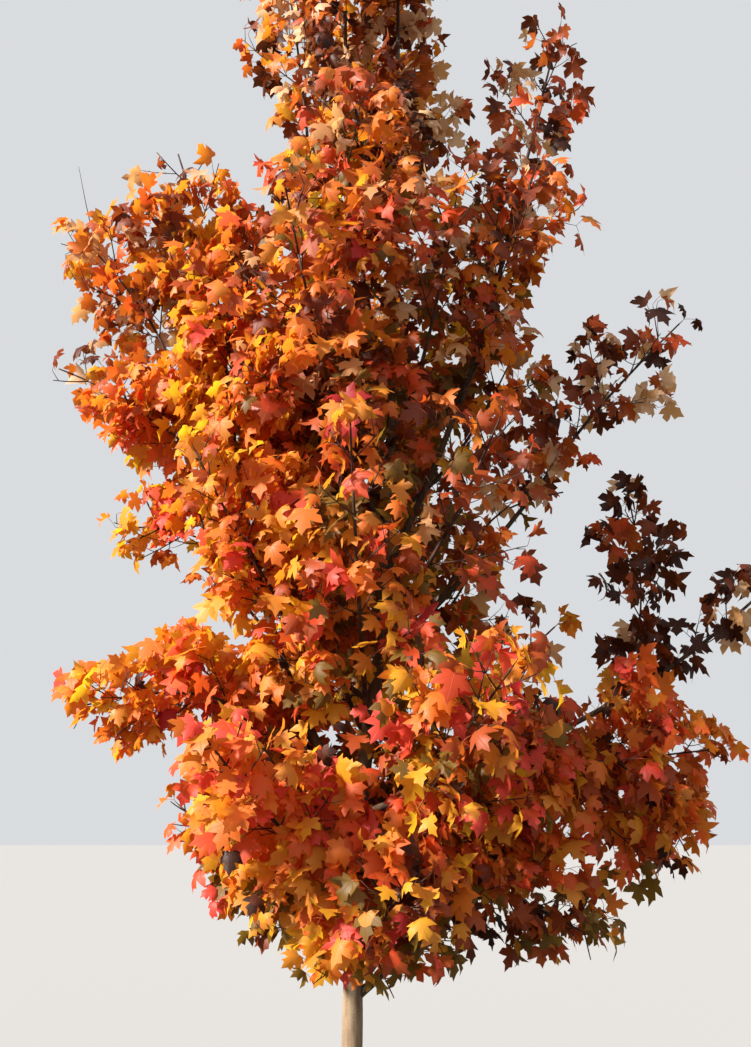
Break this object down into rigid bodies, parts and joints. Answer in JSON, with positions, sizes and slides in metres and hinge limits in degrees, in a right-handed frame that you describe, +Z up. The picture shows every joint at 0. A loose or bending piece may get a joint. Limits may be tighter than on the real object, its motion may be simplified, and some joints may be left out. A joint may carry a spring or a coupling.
{
  "type": "maple tree",
  "caption": "Young maple tree in autumn leaf: slender straight trunk with a small root flare, forked rising boughs and a tall irregular crown of separate masses of leaves.",
  "frame": {"origin": "middle of the flat cut under the trunk, at ground level", "axes": "+Z up the trunk, +X to the right as the picture shows the tree, +Y away from the viewer"},
  "size_m": [3.2673, 2.3084, 5.9466],
  "materials": {
    "bark": "smooth, matte, pale tan-grey bark with faint bands across it",
    "rust_leaves": "thin autumn leaves, satin on the upper side and paler and matte beneath",
    "bronze_leaves": "thin autumn leaves, satin on the upper side and paler and matte beneath",
    "orange_leaves": "thin autumn leaves, satin on the upper side and paler and matte beneath",
    "gold_leaves": "thin autumn leaves, satin on the upper side and paler and matte beneath",
    "coral_leaves": "thin autumn leaves, satin on the upper side and paler and matte beneath"
  },
  "bodies": {
    "root": {"trunk": "bark", "fork_bough": "bark", "left_bough": "bark", "right_bough": "bark", "arm_bough": "bark", "low_right_bough": "bark", "second_leader": "bark", "left_leader": "bark", "low_left_bough": "bark", "shoulder_bough": "bark", "flank_bough": "bark", "twig_bough": "bark", "left_mid_bough": "bark", "right_shoulder_bough": "bark", "elbow_bough": "bark", "upright_bough": "bark", "outer_bough": "bark", "under_bough": "bark", "top": "rust_leaves", "top_front": "rust_leaves", "top_left": "orange_leaves", "top_back": "rust_leaves", "right_spire": "bronze_leaves", "right_shoulder": "bronze_leaves", "right_mid": "bronze_leaves", "right_arm": "bronze_leaves", "right_elbow": "bronze_leaves", "right_waist": "rust_leaves", "low_right_upright": "bronze_leaves", "low_right_tip": "bronze_leaves", "low_right_outer": "orange_leaves", "low_right_under": "orange_leaves", "low_right_inner": "orange_leaves", "bottom_right": "orange_leaves", "bottom_left": "orange_leaves", "low_left_under": "orange_leaves", "low_left": "coral_leaves", "left_waist": "gold_leaves", "left_mid": "orange_leaves", "left_flank": "orange_leaves", "left_outer_twig": "rust_leaves", "left_shoulder_outer": "rust_leaves", "left_shoulder_top": "rust_leaves", "left_inner": "orange_leaves", "front_upper": "rust_leaves", "front_upper_right": "bronze_leaves", "front_high": "orange_leaves", "front_left": "gold_leaves", "front_mid": "coral_leaves", "front_mid_right": "rust_leaves", "front_low_right": "coral_leaves", "front_low_left": "coral_leaves", "front_bottom": "coral_leaves", "back_upper": "rust_leaves", "back_upper_left": "orange_leaves", "back_mid": "orange_leaves", "back_mid_right": "rust_leaves", "back_low_left": "orange_leaves", "back_low_right": "rust_leaves"}
  },
  "joints": []
}
